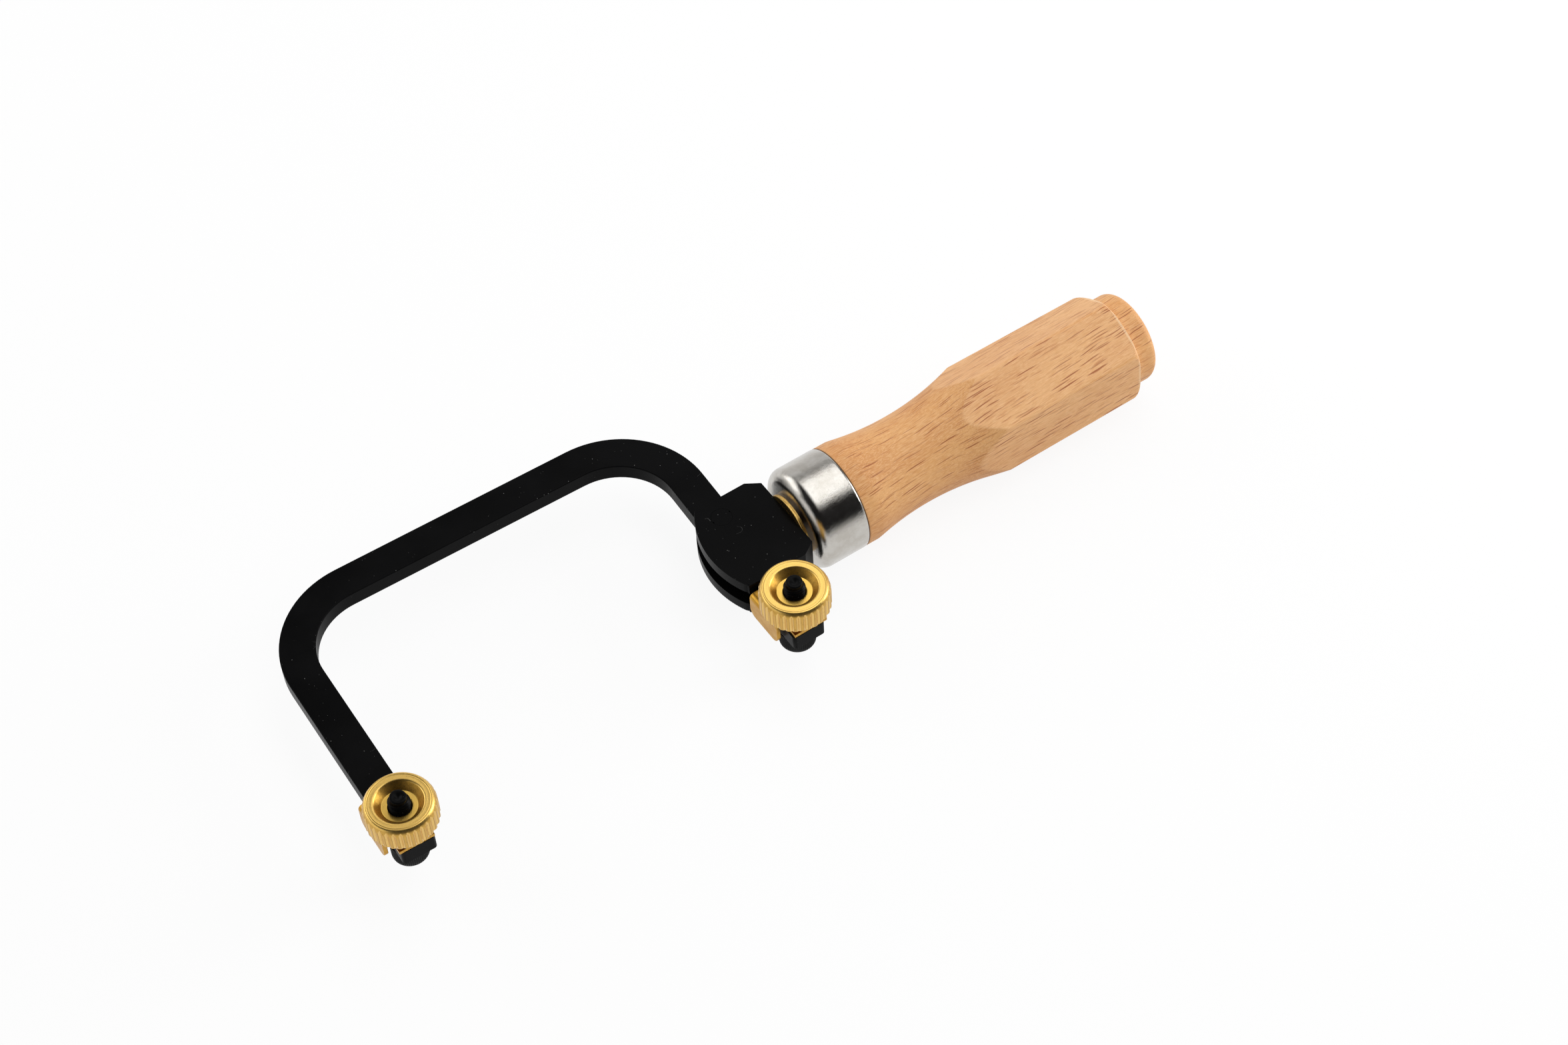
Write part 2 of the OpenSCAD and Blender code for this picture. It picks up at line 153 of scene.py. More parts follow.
def polygon_radius(flats, across, corner_at):
    """Radius of a regular polygon at each angle, from its width across the flats."""
    step = TURN / flats

    def radius(a):
        off = (a - corner_at) % step - step / 2
        return across / 2 / math.cos(off)
    return radius


def soft_min(a, b, k):
    """The smaller of two sizes, with the corner between them rounded over a width k."""
    h = max(k - abs(a - b), 0.0) / k
    return min(a, b) - h * h * k / 4


def eased(node, name, width, keep_near=None):
    """A copy of a CAD node whose hard edges are broken by a small round, but for a bore that keeps its edge."""
    same_place, flat_angle, hard_angle, bore_reach = 2e-6, math.radians(0.4), math.radians(30), 3.2
    bm = bmesh.new()
    bm.from_mesh(frame["nodes"][node].data)
    bmesh.ops.remove_doubles(bm, verts=bm.verts, dist=same_place)
    bmesh.ops.dissolve_limit(bm, angle_limit=flat_angle, verts=bm.verts, edges=bm.edges)
    hard = [e for e in bm.edges if len(e.link_faces) == 2 and e.calc_face_angle(0) > hard_angle]
    if keep_near is not None:
        reach = bore_reach * MM
        hard = [e for e in hard if any((v.co - keep_near).to_2d().length > reach for v in e.verts)]
    bmesh.ops.bevel(bm, geom=hard, offset=width * MM, offset_type="OFFSET", segments=2, profile=0.5,
                    affect="EDGES", clamp_overlap=True)
    piece = finish_mesh(name, bm, sharp=40)
    flat = piece.modifiers.new("flat_faces", "WEIGHTED_NORMAL")
    flat.weight = 100
    flat.keep_sharp = True
    return piece


# Material helpers.
def add_node(tree, kind, settings=None, **inputs):
    """A new shader node. Its inputs are named, with _ for a space, or numbered as i0, i1, and so on."""
    made = tree.nodes.new("ShaderNode" + kind)
    for key, value in (settings or {}).items():
        setattr(made, key, value)
    for key, value in inputs.items():
        numbered = key[0] == "i" and key[1:].isdigit()
        slot = made.inputs[int(key[1:]) if numbered else key.replace("_", " ")]
        if isinstance(value, bpy.types.NodeSocket):
            tree.links.new(value, slot)
        else:
            slot.default_value = value
    return made


class Shader:
    """A node material, with its Principled shader and short calls for the nodes before it."""

    def __init__(self, name, **fixed):
        self.material = bpy.data.materials.new(name)
        self.material.use_nodes = True
        self.tree = self.material.node_tree
        self.shader = self.tree.nodes["Principled BSDF"]
        for key, value in fixed.items():
            self.shader.inputs[key.replace("_", " ")].default_value = value

    def node(self, kind, out=0, settings=None, **inputs):
        return add_node(self.tree, kind, settings, **inputs).outputs[out]

    def math(self, operation, a, b=0.0, clamp=False):
        return self.node("Math", settings={"operation": operation, "use_clamp": clamp}, i0=a, i1=b)

    def times(self, first, *others):
        for other in others:
            first = self.math("MULTIPLY", first, other)
        return first

    def plus(self, a, b, clamp=False):
        return self.math("ADD", a, b, clamp)

    def minus(self, a, b):
        return self.math("SUBTRACT", a, b)

    def most(self, first, *others):
        for other in others:
            first = self.math("MAXIMUM", first, other)
        return first

    def distance(self, a, b):
        return self.math("ABSOLUTE", self.minus(a, b))

    def vector(self, operation, a, b):
        return self.node("VectorMath", settings={"operation": operation}, i0=a, i1=b)

    def scaled(self, where, x, y, z):
        return self.vector("MULTIPLY", where, (x, y, z))

    def length(self, where):
        return self.node("VectorMath", out=1, settings={"operation": "LENGTH"}, i0=where)

    def part(self, where, axis):
        """One coordinate of a place: 0, 1 or 2."""
        return self.node("SeparateXYZ", out=axis, Vector=where)

    def point(self):
        """Place in the piece's own space, in mm."""
        where = self.node("TexCoord", out=3)
        return self.scaled(where, 1000, 1000, 1000)

    def noise(self, where, scale, detail=3.0, rough=0.5):
        return self.node("TexNoise", Vector=where, Scale=scale, Detail=detail, Roughness=rough)

    def shifted(self, where, seen, scale, x, y, z):
        """A place moved by a smooth noise, by up to about half of (x, y, z) either way."""
        noise = self.node("TexNoise", out=1, Vector=seen, Scale=scale, Detail=2.0)
        noise = self.scaled(self.vector("SUBTRACT", noise, (0.5, 0.5, 0.5)), x, y, z)
        return self.vector("ADD", where, noise)

    def cells(self, where, scale):
        """Distance to the nearest of many scattered points, and that point's own random colour."""
        made = add_node(self.tree, "TexVoronoi", Vector=where, Scale=scale)
        return made.outputs["Distance"], made.outputs["Color"]

    def chosen(self, pick, amount):
        """1 in a share of the cells, by their random red."""
        return self.math("GREATER_THAN", self.node("SeparateColor", Color=pick), 1 - amount)

    def step(self, value, low, high, to0=0.0, to1=1.0):
        return self.node("MapRange", settings={"interpolation_type": "SMOOTHSTEP"}, Value=value,
                         From_Min=low, From_Max=high, To_Min=to0, To_Max=to1)

    def mix(self, factor, a, b):
        """From colour a to colour b, each a socket or three numbers."""
        a, b = (c if isinstance(c, bpy.types.NodeSocket) else (*c, 1.0) for c in (a, b))
        return self.node("Mix", out=2, settings={"data_type": "RGBA"}, i0=factor, i6=a, i7=b)

    def to(self, slot, value):
        self.tree.links.new(value, self.shader.inputs[slot])

    def bump(self, height, strength, distance):
        self.to("Normal", self.node("Bump", Strength=strength, Distance=distance * MM, Height=height))


def hair_scratches(s, p, scale, width, amount):
    """Sparse short curved hairlines, as contour lines of a noise inside a few cells."""
    thin = s.step(s.distance(s.noise(p, scale, 0.0), 0.5), width, 0.0)
    _, pick = s.cells(p, scale * 0.9)
    return s.times(thin, s.chosen(pick, amount))


def specks(s, p, scale, size, amount):
    """Sparse round specks: small balls in some of the cells."""
    distance, pick = s.cells(p, scale)
    return s.times(s.step(distance, size, size * 0.5), s.chosen(pick, amount))


def blackened_steel():
    """Satin black with fine pale dust and a few hairlines."""
    deep, lifted, dusty = (0.0022, 0.0022, 0.0023), (0.0036, 0.0036, 0.0038), (0.52, 0.52, 0.50)
    s = Shader("blackened_steel", Metallic=0.0, Specular_IOR_Level=0.036)
    p = s.point()
    broad = s.noise(p, 0.05, 3.0)
    fine = s.noise(p, 5.0, 4.0, 0.7)
    dust = s.most(specks(s, p, 0.50, 0.055, 0.50), specks(s, p, 1.1, 0.065, 0.22))
    hair = hair_scratches(s, p, 0.30, 0.0030, 0.022)
    marks = s.most(s.times(dust, 0.50), s.times(hair, 0.30))
    s.to("Base Color", s.mix(marks, s.mix(s.step(broad, 0.35, 0.65), deep, lifted), dusty))
    rough = s.plus(s.step(broad, 0.3, 0.7, 0.27, 0.35), s.times(fine, 0.07))
    s.to("Roughness", s.plus(rough, s.times(marks, 0.4), True))
    s.bump(fine, 0.25, 0.02)
    return s.material


def black_screw():
    """Black oxide with a few worn specks."""
    deep, lifted, bare = (0.0015, 0.0015, 0.0016), (0.0036, 0.0036, 0.0038), (0.4, 0.4, 0.4)
    s = Shader("black_screw", Metallic=0.0, Specular_IOR_Level=0.06)
    p = s.point()
    fine = s.noise(p, 6.0, 4.0, 0.7)
    worn = s.times(specks(s, p, 1.6, 0.10, 0.12), 0.35)
    s.to("Base Color", s.mix(worn, s.mix(fine, deep, lifted), bare))
    s.to("Roughness", s.step(fine, 0.3, 0.7, 0.26, 0.40))
    s.bump(fine, 0.3, 0.02)
    return s.material


def turned_brass():
    """The thumb nuts: satin brass with pits and stains on the recess's wall; the knurled side is painted darker
    as a dimmer reflection, the grooves painted paler as reflection with painted shade lines at their lips, and
    the recess's wall painted darker as shade.
    """
    dull, bright, stain = (0.80, 0.505, 0.118), (0.88, 0.585, 0.175), (0.17, 0.075, 0.020)
    # Painted tones on the knurl: the side darker as a dimmer reflection, the grooves paler as reflection.
    flank_shade_tone, groove_sheen_tone = (0.540, 0.315, 0.070), (0.760, 0.505, 0.165)
    # The recess's floor tone, and its wall painted darker as shade.
    floor_tone, wall_shade_tone = (0.82, 0.520, 0.105), (0.64, 0.360, 0.060)
    ring_pitch = 0.26
    s = Shader("turned_brass", Metallic=1.0)
    p = s.point()
    mottle = s.noise(p, 2.6, 4.0, 0.7)
    fine = s.noise(p, 9.0, 3.0, 0.7)
    height = s.part(p, 2)
    radius = s.length(s.scaled(p, 1, 1, 0))

    # The share runs from 0 at a crest's edge to 1 in the middle of a groove.
    turn = s.math("DIVIDE", s.math("ARCTAN2", s.part(p, 1), s.part(p, 0)), TURN / KNURL_TEETH)
    off = s.times(s.math("PINGPONG", turn, 0.5), 2.0)
    share = s.math("DIVIDE", s.minus(off, KNURL_CREST), 1 - KNURL_CREST, True)
    face = s.math("SUBTRACT", KNURL_R, s.times(share, KNURL_DEEP))
    on_knurl = s.step(s.distance(radius, face), 0.07, 0.03)
    # Painted reflection and shade on the knurl: paler groove floors, and dark shade lines at the grooves' lips.
    groove = s.times(on_knurl, s.step(share, 0.10, 0.22))
    lip_shade = s.times(on_knurl, s.step(share, 0.005, 0.04), s.step(share, 0.20, 0.12))

    side = s.step(radius, NUT_RING_R + 0.25, NUT_RING_R + 0.6)
    deep = s.step(height, RECESS_FLOOR - 0.3, RECESS_FLOOR - 0.1)
    inside = s.times(s.step(radius, RECESS_FLOOR_R + 0.2, RECESS_FLOOR_R), deep)
    wall = s.times(s.step(radius, RECESS_FLOOR_R - 0.1, RECESS_FLOOR_R + 0.1),
                   s.step(radius, RECESS_R + 0.05, RECESS_R - 0.25), deep,
                   s.step(height, NUT_TOP, NUT_TOP - 0.3))
    # The knurled side, grooves and recess wall get their painted reflection and shade tones here; the floor
    # keeps its own brass tone.
    base = s.mix(s.step(mottle, 0.3, 0.7), dull, bright)
    for mask, amount, tone in ((side, 0.85, flank_shade_tone), (groove, 0.85, groove_sheen_tone),
                               (inside, 0.75, floor_tone), (wall, 0.88, wall_shade_tone)):
        base = s.mix(s.times(mask, amount), base, tone)

    pits = s.most(specks(s, p, 0.9, 0.11, 0.22), specks(s, p, 2.2, 0.12, 0.14))
    blotch = s.times(wall, s.step(s.noise(p, 1.3, 5.0, 0.8), 0.46, 0.70))
    grain = s.times(wall, s.step(s.noise(p, 3.4, 3.0, 0.8), 0.50, 0.62))
    worn = s.times(side, s.step(s.noise(s.scaled(p, 1.0, 1.0, 0.4), 1.7, 4.0, 0.75), 0.56, 0.70))
    # Dark marks: pits, stains and worn spots, with the painted shade lines at the grooves' lips.
    dark = s.most(s.times(pits, 0.6), s.times(blotch, 0.50), s.times(lip_shade, 0.55),
                  s.times(grain, 0.45), s.times(worn, 0.35))
    s.to("Base Color", s.mix(dark, base, stain))
    matt = s.times(s.most(dark, s.times(wall, 0.5)), 0.2)
    s.to("Roughness", s.plus(s.step(mottle, 0.3, 0.7, 0.30, 0.36), matt))
    rings = s.math("SINE", s.times(radius, TURN / ring_pitch))
    s.bump(s.plus(fine, s.times(rings, inside, 0.30)), 0.28, 0.03)
    return s.material


def sheet_brass():
    """The folded jaws: rolled sheet with coppery streaks, and a ring of painted shade on top round each nut,
    where its flange shades the jaw.
    """
    dull, bright = (0.48, 0.245, 0.034), (0.55, 0.305, 0.046)
    # The second tone is painted shade, for the jaw's top under each nut's flange.
    pit, flange_shade_tone = (0.22, 0.10, 0.04), (0.090, 0.036, 0.010)
    s = Shader("sheet_brass", Metallic=1.0)
    p = s.point()
    streak = s.noise(s.scaled(p, 1.5, 0.25, 0.45), 1.0, 4.0, 0.6)
    base = s.mix(s.step(streak, 0.30, 0.70), dull, bright)
    base = s.mix(s.times(specks(s, p, 1.4, 0.12, 0.18), 0.55), base, pit)
    # A ragged ring of painted shade on the jaw's top round each nut, under its flange.
    reaches = []
    for place in (FRONT, REAR):
        off = s.vector("SUBTRACT", p, (place.x / MM, place.y / MM, JAW_TOP / MM))
        reaches.append(s.length(s.scaled(off, 1, 1, 0)))
    top = s.step(s.part(off, 2), -0.10, -0.03)
    ragged = s.plus(s.math("MINIMUM", *reaches), s.times(s.noise(p, 0.8, 3.0), 0.8))
    flange_shade = s.times(s.step(ragged, 6.6, 7.2), s.step(ragged, 10.6, 9.8), top)
    s.to("Base Color", s.mix(s.times(flange_shade, 0.92), base, flange_shade_tone))
    s.to("Roughness", s.step(streak, 0.3, 0.7, 0.42, 0.32))
    s.bump(s.noise(p, 7.0, 3.0, 0.7), 0.3, 0.03)
    return s.material


def bush_brass():
    """The bush: turned brass with dull spots."""
    dull, bright = (0.60, 0.36, 0.10), (0.80, 0.55, 0.18)
    s = Shader("bush_brass", Metallic=1.0)
    p = s.point()
    lines = s.noise(s.scaled(p, 9.0, 0.2, 0.2), 1.0, 3.0)
    spots = s.noise(p, 2.0, 4.0, 0.7)
    s.to("Base Color", s.mix(s.step(spots, 0.35, 0.7), dull, bright))
    s.to("Roughness", s.step(lines, 0.3, 0.7, 0.26, 0.40))
    s.bump(lines, 0.35, 0.03)
    return s.material


def nickel():
    """Bright plate over drawn tube: orange peel, cloudy and etched patches, and a few dark pinholes."""
    dull, bright, pinhole = (0.47, 0.445, 0.405), (0.54, 0.52, 0.485), (0.10, 0.10, 0.10)
    s = Shader("nickel", Metallic=1.0)
    p = s.point()
    peel = s.noise(p, 1.3, 3.0, 0.55)
    cloud = s.noise(p, 0.22, 4.0, 0.6)
    speckle = s.noise(p, 4.2, 3.0, 0.7)
    base = s.mix(s.step(cloud, 0.35, 0.65), dull, bright)
    s.to("Base Color", s.mix(s.times(specks(s, p, 1.1, 0.09, 0.25), 0.7), base, pinhole))
    etched = s.times(s.step(s.noise(p, 2.6, 4.0, 0.75), 0.54, 0.64), s.step(cloud, 0.36, 0.52, 0.40, 1.0))
    gloss = s.plus(s.step(cloud, 0.3, 0.7, 0.06, 0.10), s.times(speckle, 0.04))
    s.to("Roughness", s.plus(gloss, s.times(etched, 0.12)))
    s.bump(s.plus(s.times(peel, 0.8), speckle), 0.36, 0.10)
    return s.material


def bright_steel():
    """Plain turned steel, for the pieces inside."""
    s = Shader("bright_steel", Metallic=1.0)
    lines = s.noise(s.scaled(s.point(), 6.0, 0.3, 0.3), 1.0, 3.0)
    s.to("Base Color", s.mix(lines, (0.42, 0.42, 0.43), (0.60, 0.60, 0.61)))
    s.to("Roughness", s.step(lines, 0.3, 0.7, 0.22, 0.38))
    s.bump(lines, 0.3, 0.02)
    return s.material


def beech():
    """Oiled beech: short red-brown flecks along the grain over fine fibre lines; planed flats are paler."""
    deep, light, planed_tone = (0.645, 0.295, 0.098), (0.735, 0.380, 0.142), (0.82, 0.480, 0.240)
    fibre_tone, weft_tone, fleck_tone, large_fleck = (
        (0.56, 0.240, 0.078), (0.93, 0.64, 0.36), (0.46, 0.150, 0.048), (0.34, 0.095, 0.030))
    # The edge tone is a painted highlight with a paler cut edge; the seam tone is a painted shadow.
    edge_highlight_tone, seam_shadow_tone = (0.93, 0.68, 0.42), (0.07, 0.032, 0.014)
    s = Shader("beech", Metallic=0.0, Specular_IOR_Level=0.30)
    p = s.point()
    grain = s.node("VectorRotate", settings={"rotation_type": "EULER_XYZ"},
                   Vector=s.shifted(p, s.scaled(p, 0.5, 1.0, 1.0), 0.10, 0.0, 2.0, 2.0),
                   Rotation=(0.0, math.radians(1.5), math.radians(-2.5)))
    wavy = s.shifted(grain, grain, 0.6, 0.3, 0.10, 0.10)

    # The flecks lie round the turned form, in cells that are deep, so that the hollow doesn't cut them short.
    cell_r, cell_depth = 14.0, 0.20
    angle = s.math("ARCTAN2", s.part(wavy, 1), s.part(wavy, 2))
    round_grip = s.node("CombineXYZ", X=s.part(wavy, 0), Y=s.times(angle, cell_r),
                        Z=s.times(s.length(s.scaled(wavy, 0.0, 1.0, 1.0)), cell_depth))

    def flecks(length, width, size, amount):
        distance, pick = s.cells(s.scaled(round_grip, 1 / length, 1 / width, 1 / width), 1.0)
        depth = s.step(s.node("SeparateColor", out=1, Color=pick), 0.0, 1.0, 0.40, 1.0)
        return s.times(s.step(distance, size, size * 0.60), s.chosen(pick, amount), depth)

    large = flecks(12.5, 0.52, 0.36, 0.80)
    small = flecks(7.5, 0.34, 0.36, 0.60)
    fibre = s.noise(s.scaled(wavy, 0.07, 2.4, 2.4), 1.0, 5.0, 0.70)
    weft = s.noise(s.scaled(wavy, 0.45, 7.0, 7.0), 1.0, 2.0, 0.6)
    broad = s.noise(s.scaled(grain, 0.25, 1.0, 1.0), 0.09, 3.0)

    # The planed flats lie near the hexagon's half width, from the end of the hollow on.
    reaches = []
    for i in range(6):
        a = GRIP_CORNER + math.radians(30 + 60 * i)
        reaches.append(s.node("VectorMath", out=1, settings={"operation": "DOT_PRODUCT"},
                              i0=p, i1=(0, math.cos(a), math.sin(a))))
    along = s.part(p, 0)
    planed = s.times(s.step(s.most(*reaches), GRIP_FLATS / 2 - 0.23, GRIP_FLATS / 2 - 0.07),
                     s.step(along, 24.0, 25.0))
    # A pale line round the shoulder's edge: a painted highlight, and partly a paler freshly cut edge.
    cut_edge_highlight = s.step(s.distance(along, GRIP_LEN - 0.15), 0.75, 0.35)
    # A dark line at the wood's front, next to the ferrule's rim: a painted shadow in the gap.
    seam_shadow = s.step(along, 0.40, 0.12)

    base = s.mix(s.step(broad, 0.35, 0.65), deep, light)
    for mask, tone in ((s.times(planed, 0.42), planed_tone), (s.step(fibre, 0.44, 0.64, 0.0, 0.40), fibre_tone),
                       (s.step(weft, 0.42, 0.70, 0.0, 0.42), weft_tone), (s.times(small, 0.62), fleck_tone),
                       (s.times(large, 0.90), large_fleck), (s.times(cut_edge_highlight, 0.50), edge_highlight_tone),
                       (s.times(seam_shadow, 0.85), seam_shadow_tone)):
        base = s.mix(mask, base, tone)
    s.to("Base Color", base)
    s.to("Roughness", s.step(fibre, 0.3, 0.7, 0.48, 0.60))
    height = s.minus(s.times(weft, 0.6), s.times(large, 0.8))
    s.bump(s.plus(height, s.times(fibre, 0.5)), 0.30, 0.05)
    return s.material


STEEL = blackened_steel()
SCREW = black_screw()
NUT = turned_brass()
SHEET = sheet_brass()
BUSH = bush_brass()
NICKEL = nickel()
BRIGHT = bright_steel()
BEECH = beech()


def dress(piece, node, material, body):
    """Puts a piece in a CAD node's place, with its material, on the body that carries it."""
    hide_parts(node)
    piece.data.materials.clear()
    piece.data.materials.append(material)
    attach(piece, body)


def keep(node, material):
    """A CAD node that stays, with a better material."""
    mesh = frame["nodes"][node].data
    mesh.materials.clear()
    mesh.materials.append(material)
    mesh.shade_smooth()
    mesh.set_sharp_from_angle(angle=math.radians(28))


# Steel bow and head. All sizes from here to the camera are in mm.
def pivot_pin():
    """The flush pin, eased at both faces and held by two small stake marks."""
    r, half, ease, gap, centre = 3.0, 6.0, 0.07, 0.02, 1.6
    mark_at, mark_width, mark_in, mark_down = 0.12, 0.13, 0.40, 0.30

    def mark(a):
        near = min(abs((a - at + math.pi) % TURN - math.pi) for at in (mark_at, math.pi + mark_at))
        return max(0.0, 1 - near / mark_width)

    def rim(a):
        return r - ease - mark_in * mark(a)

    def low(a):
        return -half + ease + mark_down * mark(a)

    def high(a):
        return half - ease - mark_down * mark(a)

    rows = [(-half, 0), (-half, centre), (-half, rim), (low, r - gap), (-half + 1, r - gap),
            (half - 1, r - gap), (high, r - gap), (half, rim), (half, centre), (half, 0)]
    piece = lathe("pivot_pin_flush", rows, even(144), place_z, PIVOT)
    dress(piece, "pivot_pin", STEEL, "head")


keep("bow", STEEL)
for hidden in ("push_pin", "spindle", "anchor_nut"):
    keep(hidden, BRIGHT)
dress(eased("head_block", "head_cheeks", 0.16, keep_near=PIVOT), "head_block", STEEL, "head")
pivot_pin()


# Clamps.
def jaw(side):
    """The folded jaw, with its edges broken."""
    node = side + "_jaw"
    dress(eased(node, side + "_jaw_folded", 0.12), node, SHEET, node)


def thumb_nut(side, at):
    """Turned nut: hub, knurled flange with pointed groove tops, round-edged ring and a stepped recess."""
    outer, root = KNURL_R, KNURL_R - KNURL_DEEP
    top, base, ring, hub = NUT_TOP, 3.8, NUT_RING_R, 6.25
    recess, floor_r, floor_h, bore = RECESS_R, RECESS_FLOOR_R, RECESS_FLOOR, THREAD_BORE
    step = TURN / KNURL_TEETH
    half = KNURL_CREST * step / 2
    slope = step / 2 - half
    offsets = (-half, -half / 3, half / 3, half, half + 0.3 * slope, half + 0.7 * slope,
               step / 2, step - half - 0.7 * slope, step - half - 0.3 * slope)
    angles = [i * step + off for i in range(KNURL_TEETH) for off in offsets]

    def knurl(a):
        off = abs((a + step / 2) % step - step / 2)
        return outer + (root - outer) * max(0.0, (off - half) / slope)

    def cut(limit):
        return lambda a: soft_min(knurl(a), limit, 0.04)

    rows = [(0, bore), (0, hub - 0.3), (0.3, hub), (base - 0.25, hub), (base, hub + 0.25), (base, ring - 0.1)]
    under_h, under_r, under_steps = (base + 0.02, base + 0.6), (ring, outer + 0.05), 8
    for i in range(under_steps + 1):
        h, r = (a + (b - a) * i / under_steps for a, b in (under_h, under_r))
        rows.append((h, cut(r)))
    rows += [(base + 1.2, knurl), (base + 3.0, knurl), (top - 3.2, knurl), (top - 2.5, knurl)]

    # The rounded shoulder, an arc on which the grooves run out in points.
    bulge, drop, sweep, shoulder_steps = 3.2, 2.36, 46.0, 23
    for i in range(shoulder_steps + 1):
        e = math.radians(sweep * i / shoulder_steps)
        rows.append((top - drop + bulge * math.sin(e), cut(outer + 0.01 - bulge + bulge * math.cos(e))))

    # The ring with one fine turned line, the recess's edge, and its floor in fine steps.
    rows += [(top - 0.04, ring + 0.02), (top - 0.01, ring - 0.05), (top, ring - 0.16), (top, ring - 0.40),
             (top - 0.035, ring - 0.46), (top, ring - 0.55), (top - 0.02, ring - 0.75),
             (top - 0.02, recess + 0.6), (top, recess + 0.25), (top - 0.05, recess + 0.06),
             (top - 0.2, recess - 0.09), (floor_h + 0.25, floor_r + 0.12), (floor_h + 0.03, floor_r - 0.10)]
    tread, rise = 0.125, 0.035
    r, raised = floor_r - 0.24, False
    while r > bore + 0.34:
        rows.append((floor_h + (rise if raised else 0.0), r))
        r, raised = r - tread, not raised
    rows += [(floor_h, bore + 0.24), (floor_h - 0.22, bore)]
    piece = lathe(side + "_nut_knurled", rows, angles, place_z, at, closed=True)
    dress(piece, side + "_thumb_nut", NUT, side + "_thumb_nut")


def cap_screw(side, at, body):
    """Socket cap screw with a knurled head, a rolled M6 thread and a turned tip."""
    head_h, head_r, shank_len, socket_deep, chamfer_r = 6.0, 5.1, 20.0, 3.0, 2.72
    knurls, knurl_deep, pitch, major, minor, plain_r, tip_r = 60, 0.17, 1.0, 2.98, 2.48, 2.99, 2.40
    seat = -BAR_HALF
    base, end = seat - head_h, seat + shank_len
    thread_from, thread_to, thread_rows = seat + 4.5, end - 1.35, 118
    hexagon = polygon_radius(6, 5.0, 0.0)

    def grip(a):
        share = abs((a * knurls / 2 / math.pi) % 1 - 0.5) * 2
        return head_r - knurl_deep * (1 - share)

    def countersink(a):
        return max(hexagon(a), chamfer_r)

    def thread(h):
        fade = min(1.0, max(0.0, (end - 1.5 - h) / 0.5))
        fade = fade * min(1.0, max(0.0, (h - thread_from) / 0.6))
        plain = tip_r if h > end - 2.5 else plain_r

        def radius(a):
            share = abs(((h / pitch) - a / 2 / math.pi) % 1 - 0.5) * 2
            ridge = min(1.0, max(0.0, (share - 0.12) / 0.76))
            return plain + (minor + (major - minor) * ridge - plain) * fade
        return radius

    socket_end, knurl_from = base + socket_deep, base + 0.75
    rows = [(socket_end, 0), (socket_end, hexagon), (base + 0.35, hexagon), (base, countersink),
            (base, head_r - 0.62), (base + 0.12, head_r - 0.38), (base + 0.45, head_r - 0.14),
            (knurl_from, grip)]
    rows += [(knurl_from + (head_h - 1.5) * i / 4, grip) for i in range(1, 5)]
    rows += [(seat - 0.45, head_r - 0.12), (seat - 0.15, head_r - 0.22), (seat, head_r - 0.42), (seat, 3.3),
             (seat + 0.3, plain_r), (thread_from, plain_r)]
    for i in range(1, thread_rows + 1):
        h = thread_from + (thread_to - thread_from) * i / thread_rows
        rows.append((h, thread(h)))
    rows += [(end - 1.30, 2.28), (end - 0.42, 2.29)]
    rows += arc(end - 0.42, 1.87, 0.42, 90, 0, 5)
    rows += [(end - 0.03, 1.35), (end - 0.16, 0.9), (end - 0.42, 0.45), (end - 0.50, 0)]
    piece = lathe(side + "_screw_threaded", rows, even(240), place_z, at)
    dress(piece, side + "_cap_screw", SCREW, body)


for side, place, body in (("front", FRONT, "bow"), ("rear", REAR, "head")):
    jaw(side)
    cap_screw(side, (place.x, place.y, PLANE), body)
    thumb_nut(side, (place.x, place.y, JAW_TOP))


# Handle.
def bush():
    """The bush: a shank in the head, and a flange with a double rim behind it."""
    shank, rim, bore, len_in, flange = 4.5, 9.3, THREAD_BORE, 6.0, 1.1
    rows = [(-len_in, bore), (-len_in, shank - 0.2), (-len_in + 0.2, shank - 0.005), (0, shank - 0.005),
            (0, rim - 0.15), (0.12, rim), (flange / 2 - 0.08, rim), (flange / 2, rim - 0.07),
            (flange / 2 + 0.08, rim), (flange - 0.12, rim), (flange, rim - 0.15), (flange, bore + 0.15),
            (flange - 0.15, bore)]
    piece = lathe("bush_turned", rows, even(180), place_x, (HEAD_BACK, AXIS.y, AXIS.z), closed=True)
    dress(piece, "spindle_bush", BUSH, "head")


def ferrule():
    """Drawn cup: round front edge, plain band, and a thin rim that is eased inwards over the wood."""
    r, length, edge, hole = FERRULE_R, FERRULE_LEN, FERRULE_EDGE, 3.5
    wall = FERRULE_WALL - 0.01
    rows = [(0.15, hole), (0, hole + 0.15), (0, hole + 0.8), (0, r - edge - 1.0)]
    rows += arc(edge, r - edge, edge, 180, 90, 16)
    rows += [(6.0, r), (9.0, r), (length - 0.9, r), (length - 0.55, r - 0.01), (length - 0.22, r - 0.05),
             (length - 0.06, r - 0.13), (length, r - 0.26), (length, r - wall), (edge, r - wall)]
    rows += arc(edge, r - edge, edge - wall, 90, 180, 8)
    rows += [(wall, hole)]
    piece = lathe("ferrule_drawn", rows, even(288), place_x, (FERRULE_X, AXIS.y, AXIS.z), closed=True)
    dress(piece, "ferrule", NICKEL, "handle")


